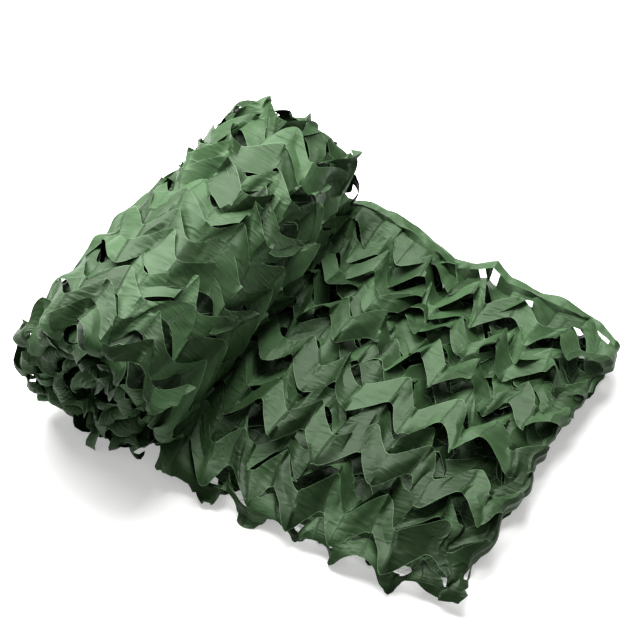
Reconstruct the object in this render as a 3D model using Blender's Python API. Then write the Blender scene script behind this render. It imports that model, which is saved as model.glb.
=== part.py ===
"""Camouflage netting, folded in three lengthwise and part rolled, as one solid at real size.

+X runs from the roll to the netting's free end, +Y along the roll, +Z up.  The origin is on
the floor under the middle of the whole piece.  Leaf bands run along X, as zigzags, and the
long slits between them are cut through the lying layers.
"""

import math

import bmesh
import bpy
from mathutils import Vector

# Leaf cloth
SHEET = 0.002               # thickness of the cloth's solid
PERIOD = 0.080              # one zigzag of a leaf band, along the netting
SWING = 0.023               # a zigzag's reach to each side of its middle line
TIP = 0.012                 # flat width of a rounded tip
BAND = 0.038                # width of a band across the netting
SLIT = 0.017                # open width of a slit, across the netting
BORDER = 0.027              # uncut border along an edge
BRIDGE_EVERY = 12           # columns from one uncut bridge of a slit to the next
COLUMNS_PER_PERIOD = 6

# The roll: its axis runs from the near end to the far end, slightly askew
ROLL_NEAR = Vector((-0.180, -0.310))
ROLL_FAR = Vector((-0.208, 0.245))
ROLL_RADIUS_NEAR = 0.130
ROLL_RADIUS_FAR = 0.125
ROLL_SQUASH = 0.90          # height over width of the roll's section
ROLL_FLAT = 0.003           # depth of the small flat spot that it stands on
ROLL_PERIODS = 10           # zigzags round the roll
ROLL_BANDS = 10             # leaf bands along the roll
ROLL_SWING = 0.018
LIP = 0.005                 # how far a leaf's lip stands off the roll
RIM_ROUND = 0.014           # how far the roll's rims are drawn in
HUB = 0.012                 # radius of the hole at the roll's heart
TURNS = 4                   # wound turns that show on an end
TURN_DEPTH = 0.016          # depth of the groove between two turns
TAB_REACH = 0.010           # how far the leaf tabs of a turn stick out of an end

# The lying part: heights of its layers and its plan outline
MIDDLE_Z = 0.0225
BOTTOM_Z = SHEET / 2        # the lowest layer lies on the floor
TUCK = 0.0008               # how far the lowest layer lifts off the floor under the roll
TUCK_X = -0.085
TOP_Z = 0.046
INNER_X = -0.172            # where the layers end, inside the roll
SPAN = 0.555                # folded width, from the near fold to the bound edge
MIDDLE_START = 0.030        # from the near fold to the inner free edge
FOLD_INSET = 0.030          # usual distance from the bound edge to the far fold beneath it

OUTLINE = (
    # x, near_y, far_y, far_lift, inset
    (-0.200, -0.312, 0.250, 0.012, 0.012),
    (0.030, -0.306, 0.266, 0.018, 0.012),
    (0.070, -0.306, 0.253, 0.008, 0.012),
    (0.095, -0.306, 0.241, 0.000, 0.012),
    (0.120, -0.306, 0.245, 0.006, 0.018),
    (0.150, -0.305, 0.254, 0.019, 0.026),
    (0.190, -0.303, 0.247, 0.006, 0.016),
    (0.290, -0.295, 0.250, 0.003, 0.018),
    (0.340, -0.287, 0.246, 0.000, 0.036),
    (0.385, -0.280, 0.232, -0.002, 0.036),
)

# Free end of the netting, against the share of its width from the inner edge to the bound edge
FREE_END = (
    # share, end_x
    (0.00, 0.366),
    (0.30, 0.362),
    (0.40, 0.370),
    (0.62, 0.371),
    (0.70, 0.378),
    (0.80, 0.381),
    (0.90, 0.386),
    (0.96, 0.386),
    (1.00, 0.370),
)

FLAT_ENOUGH = math.radians(5.0)    # faces that bend less than this are joined

CLOTH_COLOUR = (0.075, 0.125, 0.065, 1.0)


def lerp(a, b, share):
    return a + (b - a) * share


def smooth(share):
    share = min(max(share, 0.0), 1.0)
    return share * share * (3.0 - 2.0 * share)


def read_table(table, key, column):
    """Value of a table's column at a key, straight between its rows."""
    rows = list(table)
    if key <= rows[0][0]:
        return rows[0][column]
    for low, high in zip(rows, rows[1:]):
        if key <= high[0]:
            return lerp(low[column], high[column], (key - low[0]) / (high[0] - low[0]))
    return rows[-1][column]


def unevenness(a, b, seed):
    """A steady, smooth value from -1 to 1 that stands for the cloth's chance unevenness."""
    return (math.sin(5.1 * a + 3.7 * seed) * math.cos(4.3 * b + 1.9 * seed)
            + 0.6 * math.sin(11.3 * a - 7.9 * b + 2.3 * seed)) / 1.6


def zigzag(column, per_period):
    """Height from -1 to 1 of a zigzag's column: flat tips, joined by straight limbs."""
    phase = column % per_period
    half = per_period // 2
    if phase < 2:
        return 1.0
    if phase < half:
        return lerp(1.0, -1.0, (phase - 1) / (half - 1))
    if phase < half + 2:
        return -1.0
    return lerp(-1.0, 1.0, (phase - half - 1) / (half - 1))


def column_place(column, per_period, period):
    """Distance along the netting of a zigzag's column."""
    half = per_period // 2
    whole, phase = divmod(column, half)
    if phase == 0:
        offset = -TIP / 2
    else:
        offset = lerp(TIP / 2, period / 2 - TIP / 2, (phase - 1) / (half - 1))
    return whole * period / 2 + offset


# ---------------------------------------------------------------- the lying, folded layers

def fold_path():
    """The netting's width as a chain of named runs: name, length."""
    near_radius = (TOP_Z - BOTTOM_Z) / 2
    far_radius = (MIDDLE_Z - BOTTOM_Z) / 2
    return (
        ("middle", SPAN - MIDDLE_START - FOLD_INSET - far_radius),
        ("far_fold", math.pi * far_radius),
        ("bottom", SPAN - FOLD_INSET - far_radius - near_radius),
        ("near_fold", math.pi * near_radius),
        ("top", SPAN - near_radius),
    )


PATH = fold_path()
WIDTH = sum(length for _, length in PATH)


def run_at(distance):
    """The run of the fold path that a distance from the inner edge lies in, and its share."""
    for name, length in PATH:
        if distance <= length or name == "top":
            return name, distance / length
        distance -= length


def layer_point(x, distance):
    """Middle of the cloth at x and at a distance across the netting, and its outward normal."""
    name, share = run_at(distance)
    bottom_z = BOTTOM_Z + TUCK * smooth((TUCK_X - x) / 0.03)
    near = read_table(OUTLINE, x, 1)
    far = read_table(OUTLINE, x, 2)
    lift = read_table(OUTLINE, x, 3)
    far_fold = far - read_table(OUTLINE, x, 4)
    near_radius = (TOP_Z - bottom_z) / 2
    far_radius = (MIDDLE_Z - bottom_z) / 2
    if name == "middle":
        y = lerp(near + MIDDLE_START, far_fold - far_radius, share)
        return Vector((x, y, MIDDLE_Z)), Vector((0, 0, 1))
    if name == "far_fold":
        turn = math.pi * share
        normal = Vector((0, math.sin(turn), math.cos(turn)))
        centre = Vector((x, far_fold - far_radius, bottom_z + far_radius))
        return centre + normal * far_radius, normal
    if name == "bottom":
        y = lerp(far_fold - far_radius, near + near_radius, share)
        return Vector((x, y, bottom_z)), Vector((0, 0, -1))
    if name == "near_fold":
        turn = math.pi * share
        normal = Vector((0, -math.sin(turn), -math.cos(turn)))
        centre = Vector((x, near + near_radius, bottom_z + near_radius))
        return centre + normal * near_radius, normal
    y = lerp(near + near_radius, far, share)
    rise = lift * smooth((share - 0.78) / 0.2) + 0.004 * unevenness(9 * x, 7 * y, 1)
    return Vector((x, y, TOP_Z + rise)), Vector((0, 0, 1))


def band_relief(distance, edge, band, x):
    """How far a band's edge stands off its layer: a front band over a tucked one by turns."""
    name, share = run_at(distance)
    front = 1.0 if band % 2 else -1.0
    sway = unevenness(12 * x, 2.1 * band, 2)
    if name == "top":
        ease = 1.0 - smooth((share - 0.9) / 0.1)
        return ease * (0.0025 * front + (0.0055 if edge == 0 else -0.0035) + 0.002 * sway)
    if name == "near_fold":
        return (0.0025 * front + 0.001 * sway) * smooth(3 * share)
    if name == "middle":
        return 0.0015 * front + (0.002 if edge == 0 else -0.002) + 0.001 * sway
    if name == "bottom":
        return -0.0045 * (edge != (band % 2)) * smooth(4 * share) * smooth(4 * (1 - share))
    return 0.0


def swing_at(distance):
    """Reach of the zigzags across the netting: they flatten where the tight far fold bends."""
    fold = PATH[0][1] + PATH[1][1] / 2
    return SWING * lerp(0.12, 1.0, smooth((abs(distance - fold) - 0.02) / 0.10))


def layer_lines():
    """Lines along the netting, from its inner edge to its bound edge.

    Each is (distance, swing, band, edge, open): open says that the strip of cells before it
    is a slit, and band is None on the border's lines.  Under the top layer every second slit
    is left uncut, so that the bands there are twice as wide.
    """
    inner = BORDER + SWING + 0.004
    outer = WIDTH - inner
    shown = sum(length for _, length in PATH[:3]) - SWING
    hidden_bands = round((shown - inner) / (2 * (BAND + SLIT)))
    hidden_pitch = (shown - inner) / hidden_bands
    shown_bands = round((outer + SLIT - shown) / (BAND + SLIT))
    shown_pitch = (outer + SLIT - shown) / shown_bands
    fold_start, fold_length = PATH[0][1], PATH[1][1]
    fold_lines = [fold_start + fold_length * step / 3 for step in range(4)]

    lines = [(0.0, 0.0, None, 0, False), (BORDER, 0.0, None, 0, False)]
    for band in range(hidden_bands + shown_bands):
        pitch = hidden_pitch if band < hidden_bands else shown_pitch
        start = inner + min(band, hidden_bands) * hidden_pitch
        start += max(band - hidden_bands, 0) * shown_pitch
        end = start + pitch - SLIT
        lines.append((start, swing_at(start), band, 0, True))
        for bend in fold_lines:
            if start < bend < end:
                lines.append((bend, swing_at(bend), None, 0, False))
        lines.append((end, swing_at(end), band, 1, False))
    lines.append((WIDTH - BORDER, 0.0, None, 0, True))
    lines.append((WIDTH, 0.0, None, 0, False))
    return lines


def cell_is_cut(column, strip, last_strip, columns):
    """Whether a cell of a slit strip is open: bridges part a slit from the next one along."""
    if column >= columns - 3:
        return False
    if strip in (0, last_strip):
        tip = 0 if strip == last_strip else COLUMNS_PER_PERIOD // 2
        return column % COLUMNS_PER_PERIOD != tip
    shift = (1, 7, 10, 4)[strip % 4]
    return (column - shift) % BRIDGE_EVERY != 0


def build_layers():
    """The three lying layers as one sheet: a grid of quads with the slits' cells left out."""
    lines = layer_lines()
    first = math.floor(INNER_X / PERIOD * COLUMNS_PER_PERIOD)
    longest = max(row[1] for row in FREE_END)
    last = first
    while column_place(last, COLUMNS_PER_PERIOD, PERIOD) < longest - BORDER:
        last += 1
    columns = last - first + 2
    points, normals = [], []
    for distance, swing, band, edge, _ in lines:
        for index in range(columns):
            column = first + index
            end_x = read_table(FREE_END, distance / WIDTH, 1)
            if index == columns - 1:
                x = end_x
            else:
                x = column_place(column, COLUMNS_PER_PERIOD, PERIOD)
                x -= (longest - end_x) * smooth((x - 0.20) / 0.16)
                x = min(x, end_x - 0.004 * (columns - 1 - index))
            shifted = distance + swing * zigzag(column, COLUMNS_PER_PERIOD)
            shifted = min(max(shifted, 0.0), WIDTH)
            point, normal = layer_point(x, shifted)
            if band is not None:
                point = point + normal * band_relief(shifted, edge, band, x)
            points.append(point)
            normals.append(normal)

    cells = []
    slit_strips = [row for row in range(1, len(lines)) if lines[row][4]]
    for row in range(1, len(lines)):
        for index in range(columns - 1):
            if row in slit_strips:
                strip = slit_strips.index(row)
                if cell_is_cut(index, strip, len(slit_strips) - 1, columns):
                    continue
            low, high = (row - 1) * columns + index, row * columns + index
            cells.append((low, low + 1, high + 1, high))
    return thicken("netting_layers", points, normals, cells)


def thicken(name, points, normals, cells):
    """A closed solid of the sheet's thickness from a grid of points, normals and cells."""
    half = SHEET / 2
    count = len(points)
    places = [point + normal * half for point, normal in zip(points, normals)]
    places += [point - normal * half for point, normal in zip(points, normals)]
    faces, edges = [], {}
    for cell in cells:
        faces.append(cell)
        faces.append(tuple(corner + count for corner in reversed(cell)))
        for a, b in zip(cell, cell[1:] + cell[:1]):
            if (b, a) in edges:
                del edges[(b, a)]
            else:
                edges[(a, b)] = True
    for a, b in edges:
        faces.append((b, a, a + count, b + count))
    return mesh_object(name, places, faces)


# ---------------------------------------------------------------- the roll

def roll_point(angle, along, stand_off, y_shift=0.0):
    """A point of the roll's skin: angle round it from +X, share along it, height off it."""
    centre = ROLL_NEAR.lerp(ROLL_FAR, along)
    radius = lerp(ROLL_RADIUS_NEAR, ROLL_RADIUS_FAR, along)
    lump = 0.0035 * unevenness(2 * math.cos(angle) + 3 * along, 2 * math.sin(angle), 4)
    reach = radius + stand_off + lump
    height = radius * ROLL_SQUASH - ROLL_FLAT
    z = height + reach * ROLL_SQUASH * math.sin(angle)
    x = centre.x + reach * math.cos(angle)
    return Vector((x, centre.y + y_shift, max(z, 0.0)))


def roll_lines():
    """Lines round the roll: (share along it, stand-off, swing, band)."""
    length = ROLL_FAR.y - ROLL_NEAR.y
    pitch = (1.0 - 0.08) / ROLL_BANDS
    step = 0.004 / length
    lines = [(0.0, -RIM_ROUND, 0.0, None), (0.012, -RIM_ROUND * 0.3, 0.1, None)]
    for band in range(ROLL_BANDS):
        start = 0.04 + band * pitch
        near_rim = smooth((band + 0.6) / 1.5)
        far_rim = smooth((ROLL_BANDS - band - 0.4) / 1.5)
        swing = near_rim * far_rim
        lines.append((start, -0.001, swing, band))
        lines.append((start + step, LIP, swing, band))
        lines.append((start + pitch * 0.55, LIP * 0.35, swing, band))
    lines.append((0.975, 0.0, 0.2, None))
    lines.append((1.0, -RIM_ROUND, 0.0, None))
    return lines


def turn_rim(angle, turn, seed):
    """How far a wound turn's leaf tabs stick out of the roll's end at an angle."""
    wave = math.sin(7.0 * angle + 2.4 * turn + seed) + 0.7 * math.sin(11 * angle - 1.3 * turn)
    return TAB_REACH * (0.35 + 0.4 * wave) * smooth(4 * turn)


def add_roll_end(points, faces, rim, angles, along, outward, seed):
    """Close an end of the roll with its wound turns: a spiral of ridges and grooves."""
    count = len(angles)
    centre = ROLL_NEAR.lerp(ROLL_FAR, along)
    radius = lerp(ROLL_RADIUS_NEAR, ROLL_RADIUS_FAR, along)
    height = radius * ROLL_SQUASH - ROLL_FLAT
    pitch = (radius - RIM_ROUND - HUB) / (TURNS + 0.8)
    ridge, groove = [], []
    for step in range(TURNS * count + 1):
        angle = angles[step % count] + 2 * math.pi * (step // count)
        wound = (angle - angles[0]) / (2 * math.pi)
        for ring, inset, kind in ((ridge, 0.35, 1), (groove, 0.80, -1)):
            reach = radius - RIM_ROUND - pitch * (wound + inset)
            reach += 0.003 * unevenness(3 * angle, wound, seed) * (1.0 - wound / TURNS)
            out = turn_rim(angle, wound, seed) if kind > 0 else -TURN_DEPTH
            spot = Vector((centre.x + reach * math.cos(angle),
                           centre.y + outward * out,
                           height + reach * ROLL_SQUASH * math.sin(angle)))
            ring.append(len(points))
            points.append(spot)

    def face(*corners):
        faces.append(corners if outward < 0 else tuple(reversed(corners)))

    for step in range(count):
        face(rim[step], ridge[step], ridge[step + 1], rim[(step + 1) % count])
    face(rim[0], ridge[count], ridge[0])
    for step in range(TURNS * count):
        face(ridge[step], groove[step], groove[step + 1], ridge[step + 1])
        if step < (TURNS - 1) * count:
            inner = step + count
            face(groove[step], ridge[inner], ridge[inner + 1], groove[step + 1])
    face(ridge[0], ridge[count], groove[0])
    hub = len(points)
    points.append(Vector((centre.x, centre.y - outward * TURN_DEPTH * 1.3, height)))
    first = (TURNS - 1) * count
    for step in range(first, TURNS * count):
        face(groove[step], hub, groove[step + 1])
    face(groove[first], ridge[TURNS * count], groove[TURNS * count])
    face(groove[first], groove[TURNS * count], hub)


def build_roll():
    """The wound roll as one solid: zigzag leaf bands in relief and wound turns at its ends."""
    per_period = 4
    count = ROLL_PERIODS * per_period
    round_length = ROLL_PERIODS * PERIOD
    angles = [2 * math.pi * (column_place(column, per_period, PERIOD) + TIP) / round_length
              for column in range(count)]
    length = ROLL_FAR.y - ROLL_NEAR.y
    points, faces, rings = [], [], []
    for along, stand_off, swing, band in roll_lines():
        ring = []
        for column, angle in enumerate(angles):
            sway = unevenness(1.7 * column, 0.9 * (band or 0), 5) if band is not None else 0.0
            shift = swing * ROLL_SWING * zigzag(column, per_period) + 0.003 * sway
            pressed = 1.0 - smooth((-math.sin(angle) - 0.45) / 0.35)
            lift = stand_off
            if band is not None:
                lift = stand_off * (1.0 + 0.7 * sway) * pressed
            place = min(max(along + shift / length, 0.0), 1.0)
            ring.append(len(points))
            points.append(roll_point(angle, along, lift, (place - along) * length))
        rings.append(ring)
    for low, high in zip(rings, rings[1:]):
        for step in range(count):
            after = (step + 1) % count
            faces.append((low[step], low[after], high[after], high[step]))
    add_roll_end(points, faces, rings[0], angles, 0.0, -1, 1)
    add_roll_end(points, faces, rings[-1], angles, 1.0, 1, 4)
    return mesh_object("netting_roll", points, faces)


# ---------------------------------------------------------------- objects

def mesh_object(name, points, faces):
    mesh = bpy.data.meshes.new(name)
    mesh.from_pydata([tuple(point) for point in points], [], faces)
    built = bmesh.new()
    built.from_mesh(mesh)
    loose = [vertex for vertex in built.verts if not vertex.link_faces]
    bmesh.ops.delete(built, geom=loose, context="VERTS")
    bmesh.ops.recalc_face_normals(built, faces=built.faces)
    bmesh.ops.triangulate(built, faces=built.faces)
    bmesh.ops.dissolve_limit(built, angle_limit=FLAT_ENOUGH, verts=built.verts,
                             edges=built.edges)
    bmesh.ops.triangulate(built, faces=built.faces)
    if built.calc_volume(signed=True) < 0:
        bmesh.ops.reverse_faces(built, faces=built.faces)
    built.to_mesh(mesh)
    built.free()
    thing = bpy.data.objects.new(name, mesh)
    bpy.context.scene.collection.objects.link(thing)
    return thing


def cloth_material():
    material = bpy.data.materials.new("coated_polyester")
    material.use_nodes = True
    shader = material.node_tree.nodes["Principled BSDF"]
    shader.inputs["Base Color"].default_value = CLOTH_COLOUR
    shader.inputs["Roughness"].default_value = 0.45
    shader.inputs["Metallic"].default_value = 0.0
    return material


def place_on_floor(parts):
    """Shift the meshes so that the whole stands over the origin."""
    spots = [vertex.co for part in parts for vertex in part.data.vertices]
    low = [min(spot[axis] for spot in spots) for axis in range(3)]
    high = [max(spot[axis] for spot in spots) for axis in range(3)]
    shift = Vector((-(low[0] + high[0]) / 2, -(low[1] + high[1]) / 2, -low[2]))
    for part in parts:
        for vertex in part.data.vertices:
            vertex.co += shift


def main():
    for thing in list(bpy.data.objects):
        bpy.data.objects.remove(thing, do_unlink=True)
    layers = build_layers()
    roll = build_roll()
    place_on_floor((layers, roll))
    layers.hide_render = True
    layers.display_type = "WIRE"
    roll.name = "leaf_cloth"
    join = roll.modifiers.new("join_layers", "BOOLEAN")
    join.operation = "UNION"
    join.solver = "EXACT"
    join.object = layers
    roll.data.materials.append(cloth_material())


main()
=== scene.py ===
# %% [markdown]
# # Camouflage netting, part rolled
# Leaf netting is one long cloth, slit in rows and pulled apart, so that zigzag leaves
# stand up.  This length is folded in three and rolled up from one end.  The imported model
# gives the frame: every piece below is placed in its metres.

# %% Load the frame
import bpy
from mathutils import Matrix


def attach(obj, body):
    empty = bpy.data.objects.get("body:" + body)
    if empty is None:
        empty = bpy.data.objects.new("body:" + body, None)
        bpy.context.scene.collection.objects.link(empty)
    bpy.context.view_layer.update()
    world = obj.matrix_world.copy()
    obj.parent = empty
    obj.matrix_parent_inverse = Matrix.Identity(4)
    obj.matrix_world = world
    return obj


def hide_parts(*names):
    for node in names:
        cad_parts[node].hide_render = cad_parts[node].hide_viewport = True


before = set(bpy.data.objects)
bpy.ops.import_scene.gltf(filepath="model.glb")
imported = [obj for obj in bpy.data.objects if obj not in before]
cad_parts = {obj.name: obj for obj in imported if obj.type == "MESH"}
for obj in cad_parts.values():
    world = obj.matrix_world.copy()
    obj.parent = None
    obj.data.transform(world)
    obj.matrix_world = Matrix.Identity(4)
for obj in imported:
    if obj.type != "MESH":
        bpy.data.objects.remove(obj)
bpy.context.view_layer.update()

# %% [markdown]
# ## Modules
# `bmesh` cuts and lays the cloth.  `random` and `noise` give chance values from a key or
# a seed, so every run gives the same netting.

# %% Modules
import math
import random
from bisect import bisect_right
from dataclasses import dataclass

import bmesh
import bpy
from mathutils import Vector, noise

scene = bpy.context.scene
print("Blender", bpy.app.version_string)

# %% [markdown]
# ## Camera
# The camera comes first, because the folds are judged through it.  It looks down at 47
# degrees from the front, a little from the right, with a long lens that keeps the roll's
# ends nearly the same size.

# %% Camera
LOOK_AT = Vector((-0.025, 0.028, 0.080))
AZIMUTH, ELEVATION = math.radians(32.0), math.radians(47.0)
DISTANCE = 2.072
LENS, SENSOR = 80.0, 36.0       # mm


def from_angles(azimuth, elevation):
    """Unit direction towards a place at an azimuth round the object and a height angle."""
    return Vector((math.sin(azimuth) * math.cos(elevation),
                   -math.cos(azimuth) * math.cos(elevation), math.sin(elevation)))


def into_scene(name, data):
    """A new object that shows data."""
    thing = bpy.data.objects.new(name, data)
    scene.collection.objects.link(thing)
    return thing


camera_data = bpy.data.cameras.new("camera")
camera_data.lens, camera_data.sensor_width = LENS, SENSOR
camera = into_scene("camera", camera_data)
toward = from_angles(AZIMUTH, ELEVATION)
camera.location = LOOK_AT + toward * DISTANCE
camera.rotation_euler = toward.to_track_quat("Z", "Y").to_euler()
scene.camera = camera
print("camera at", [round(value, 3) for value in camera.location])

# %% [markdown]
# ## Leaf cloth, as it is cut
# The cloth is slit along rounded zigzag lines.  Each slit is about two zigzags long, and
# an uncut bridge parts it from the next one.  Every leaf could be a piece of its own, but
# then nothing would join them, so the cloth is cut as its maker cuts it.  These are the
# measures of the flat cloth, in metres, with u along the netting.

# %% Measures of the leaf cloth
PERIOD = 0.088          # one zigzag along the flat cloth
SLOPE = 1.25            # rise of a straight limb for its run along the cloth
CORNER = 0.010          # half the run of a rounded corner
SWING = SLOPE * (PERIOD / 4 - CORNER / 2)       # a zigzag's reach to each side
BAND = 0.052            # from one slit to the next, across the cloth
BRIDGE = 0.016          # uncut length between two slits of a row
COLUMN = PERIOD / 24    # grid step along the cloth
BORDER = 0.025          # uncut border
EDGE_SWING = 0.18       # zigzags calm down to this share beside a border
NECK = 0.003            # cloth between a border and the tips of the calmed zigzag
CALM_REACH = SWING * EDGE_SWING + NECK          # from a border to the nearest slit's line
BOUND_EDGE = BORDER + CALM_REACH                # and with the border
print("zigzag", round(PERIOD * 1000), "mm, to each side", round(SWING * 1000, 1), "mm")

# %% [markdown]
# ## Even cut, uneven fall
# The cut is even, but no two leaves fall alike.  Plain chance would jump from point to
# point, so there are three kinds here: a steady value for each leaf, a slow ripple over a
# sheet, and the sharp creases of stiff coated cloth.

# %% Easing and chance
RIPPLE_REACH, RIPPLE_LAYER = 1.6, 7.3
WIDE_CREASES, FINE_CREASES, CREASE_LAYER = 26, 60, 3.1      # creases per metre


def smooth(share):
    """From 0 to 1 with a soft start and end."""
    share = min(max(share, 0.0), 1.0)
    return share * share * (3.0 - 2.0 * share)


def lerp(a, b, share):
    """The value that lies a share of the way from a to b."""
    return a + (b - a) * share


def chance(*key):
    """A steady chance value from -1 to 1 for a key, the same in every run."""
    return random.Random(repr(key)).uniform(-1.0, 1.0)


def ripple(a, b, seed):
    """A smooth chance value from about -1 to 1 at a place on a piece."""
    return noise.noise(Vector((a, b, RIPPLE_LAYER * seed))) * RIPPLE_REACH


def crumple(u, across, seed):
    """Height from about -0.5 to 0.5 of sharp, shallow creases in stiff cloth."""
    layer = CREASE_LAYER * seed
    wide = noise.voronoi(Vector((u * WIDE_CREASES, across * WIDE_CREASES, layer)))[0][0]
    fine = noise.voronoi(Vector((u * FINE_CREASES, across * FINE_CREASES, layer + 9)))[0][0]
    return wide + 0.35 * fine - 0.6


print("creases every", round(1000 / WIDE_CREASES), "and", round(1000 / FINE_CREASES), "mm")

# %% [markdown]
# ## The zigzag line and its slits
# A sine wave would look too soft: the zigzag's limbs are straight, and only its corners
# are round.  `openness` says how wide a slit can gape: it rises fast beside a bridge and is
# nearly level between, as a cut in pulled cloth is.

# %% Zigzag and slits
SLIT_LENGTH = 2 * PERIOD
STAGGER = (0.0, 1.0, 0.5, 1.5)      # where four rows in turn start, in zigzags
STAGGER_CHANCE = 0.12
TAB_ROUNDNESS, GAPE_ROUNDNESS = 0.6, 0.45       # powers of a sine: smaller is fuller


def zigzag(u):
    """Straight limbs with rounded corners, from -1 to 1."""
    turn = u / PERIOD
    from_corner = (0.25 - abs((turn + 0.25) % 0.5 - 0.25)) * PERIOD
    if from_corner > CORNER:
        reach = PERIOD / 4 - from_corner
    else:
        reach = PERIOD / 4 - CORNER / 2 - from_corner ** 2 / (2 * CORNER)
    return math.copysign(SLOPE * reach / SWING, 1.0 if turn % 1.0 < 0.5 else -1.0)


def tabs(u):
    """A free edge: the zigzag with round tabs, from -1 to 1."""
    wave = math.sin(2 * math.pi * u / PERIOD)
    return math.copysign(abs(wave) ** TAB_ROUNDNESS, wave)


def bridge_offset(slit):
    """Where a slit row's first bridge lies: neighbouring rows are staggered."""
    return PERIOD * (STAGGER[slit % 4] + STAGGER_CHANCE * chance("bridge", slit))


def openness(slit, u):
    """0 on a bridge, rising to 1 in the middle of a slit."""
    along = (u - bridge_offset(slit)) % SLIT_LENGTH
    free = (along - BRIDGE / 2) / (SLIT_LENGTH - BRIDGE)
    if not 0.0 < free < 1.0:
        return 0.0
    return math.sin(math.pi * free) ** GAPE_ROUNDNESS


print("first bridges at", [round(bridge_offset(slit), 3) for slit in range(4)])

# %% [markdown]
# ## Pulling the leaves open
# When the cloth is pulled across, every slit gapes and each limb of a zigzag turns like
# the slat of a blind: one edge up, one edge down.  The limbs stay nearly flat and fold
# at the corners.  So each limb gets a tilt, each corner a height, and both fade
# to nothing at the bridges, where two bands are still one cloth.

# %% Tilt and height of the limbs
LIMB_HALF = 0.0163      # half a limb's width, square to it
SQUARE_ALONG, SQUARE_ACROSS = 0.78, 0.625       # unit direction square to a limb
LEAN_CHANCE = 0.35      # how much the even lean varies from limb to limb
TURN_OVER = 0.07        # share of a limb over which the tilt changes to the next one's
LEFT_FLAT = 0.45        # limbs whose chance value is smaller have no crease


def limb_place(u):
    """Number of the limb at u and the share of it that lies behind."""
    return divmod(u / (PERIOD / 2) + 0.5, 1.0)


def limb_tilt(piece, band, u, even, wild):
    """Tilt of a band's limb, in radians: an even lean and a chance part."""
    limb, share = limb_place(u)

    def tilt(index):
        usual = even * (1.0 + LEAN_CHANCE * chance(piece, "lean", band, index))
        return usual + wild * chance(piece, "wild", band, index)

    return lerp(tilt(limb - 1), tilt(limb), smooth(share / TURN_OVER))


def fold_height(piece, band, u, share, reach):
    """Height of the crease that runs along the middle of some limbs."""
    limb, along = limb_place(u)
    fold = chance(piece, "fold", band, limb)
    if abs(fold) < LEFT_FLAT:
        return 0.0
    return reach * fold * (1.0 - abs(2.0 * share - 1.0)) * smooth(4.0 * along * (1.0 - along))


def corner_height(piece, band, u, reach):
    """Height of a band between the chance heights of its two nearest corners."""
    corner, share = limb_place(u)
    return reach * lerp(chance(piece, "corner", band, corner),
                        chance(piece, "corner", band, corner + 1), share)


print("a limb is", round(2000 * LIMB_HALF), "mm wide")

# %% [markdown]
# ## What a sheet needs to know
# The lying layers and the turns of the roll are the same cloth, so they share one cut.  A
# small record holds what differs: how many bands there are, and whether a side ends in the
# uncut border or in free tabs.

# %% A sheet's cut
@dataclass
class Cut:
    """How one sheet is cut.  Its bands are counted from its near side."""
    name: str
    columns: int                # grid steps along the cloth
    bands: int
    rows_per_band: int
    flat_band: float = BAND     # from one slit to the next on the flat cloth
    step: float = COLUMN        # length of a grid step
    near_border: bool = False
    far_border: bool = False
    uncut_end: int = 0          # grid steps that stay uncut at the end
    near_tabs: object = None    # length of the near edge's free tabs, for a u
    far_tabs: object = None     # and of the far edge's
    border_open: object = None  # whether the last slit gapes beside the far border, for a u


BORDER_ROWS = 4
CALM_BANDS = 1.6        # bands over which the zigzag grows to its full swing


def border_rows(band, start):
    """Rows of an uncut border, which has no swing."""
    parts = BORDER_ROWS - 1
    return [(band, part / parts, start + BORDER * part / parts, 0.0)
            for part in range(BORDER_ROWS)]


def cut_rows(cut):
    """Grid rows as (band, share across it, place on the flat cloth, swing), and the place
    where the first band starts."""
    rows = border_rows(-1, 0.0) if cut.near_border else []
    start = BOUND_EDGE if cut.near_border else 0.0
    for band in range(cut.bands):
        for part in range(cut.rows_per_band + (band == cut.bands - 1)):
            share = part / cut.rows_per_band
            place = band + share
            swing = 1.0
            if cut.near_border:
                swing = min(swing, lerp(EDGE_SWING, 1.0, smooth(place / CALM_BANDS)))
            if cut.far_border:
                from_far = cut.bands - place
                swing = min(swing, lerp(EDGE_SWING, 1.0, smooth(from_far / CALM_BANDS)))
            rows.append((band, share, start + place * cut.flat_band, swing))
    if cut.far_border:
        rows += border_rows(cut.bands, start + cut.bands * cut.flat_band + CALM_REACH)
    return rows, start


# %% [markdown]
# ## Cutting the cloth
# A grid is the easiest start, and `split_edges` parts it along each slit but leaves the
# bridges whole.  Splitting makes new points, so each one keeps the number of its row and
# column in two layers.

# %% Grid and slits
def grid_layers(cloth):
    """The layers that hold each point's row and column."""
    return cloth.verts.layers.int["row"], cloth.verts.layers.int["column"]


def new_grid(cut, rows):
    """A grid whose points know their row and column."""
    cloth = bmesh.new()
    last_row = len(rows) - 1
    bmesh.ops.create_grid(cloth, x_segments=cut.columns, y_segments=last_row, size=0.5)
    for name in ("row", "column"):
        cloth.verts.layers.int.new(name)
    row_layer, column_layer = grid_layers(cloth)
    for vert in cloth.verts:
        vert[column_layer] = round((vert.co.x + 0.5) * cut.columns)
        vert[row_layer] = round((vert.co.y + 0.5) * last_row)
    return cloth


def slit_along(cut, row):
    """Number of the slit that runs along a row, or None."""
    band, share, _, swing = row
    slit = band + round(share)
    if swing == 0.0 or share not in (0.0, 1.0) or slit in (0, cut.bands):
        return None
    return slit


def cut_slits(cloth, cut, rows):
    """Split the edges that lie on an open stretch of a slit."""
    row_layer, column_layer = grid_layers(cloth)
    cuts = []
    for edge in cloth.edges:
        a, b = edge.verts
        slit = slit_along(cut, rows[a[row_layer]])
        middle = (a[column_layer] + b[column_layer]) / 2
        if a[row_layer] != b[row_layer] or slit is None:
            continue
        if middle <= cut.columns - cut.uncut_end and openness(slit, middle * cut.step) > 0.0:
            cuts.append(edge)
    bmesh.ops.split_edges(cloth, edges=cuts)


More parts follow.
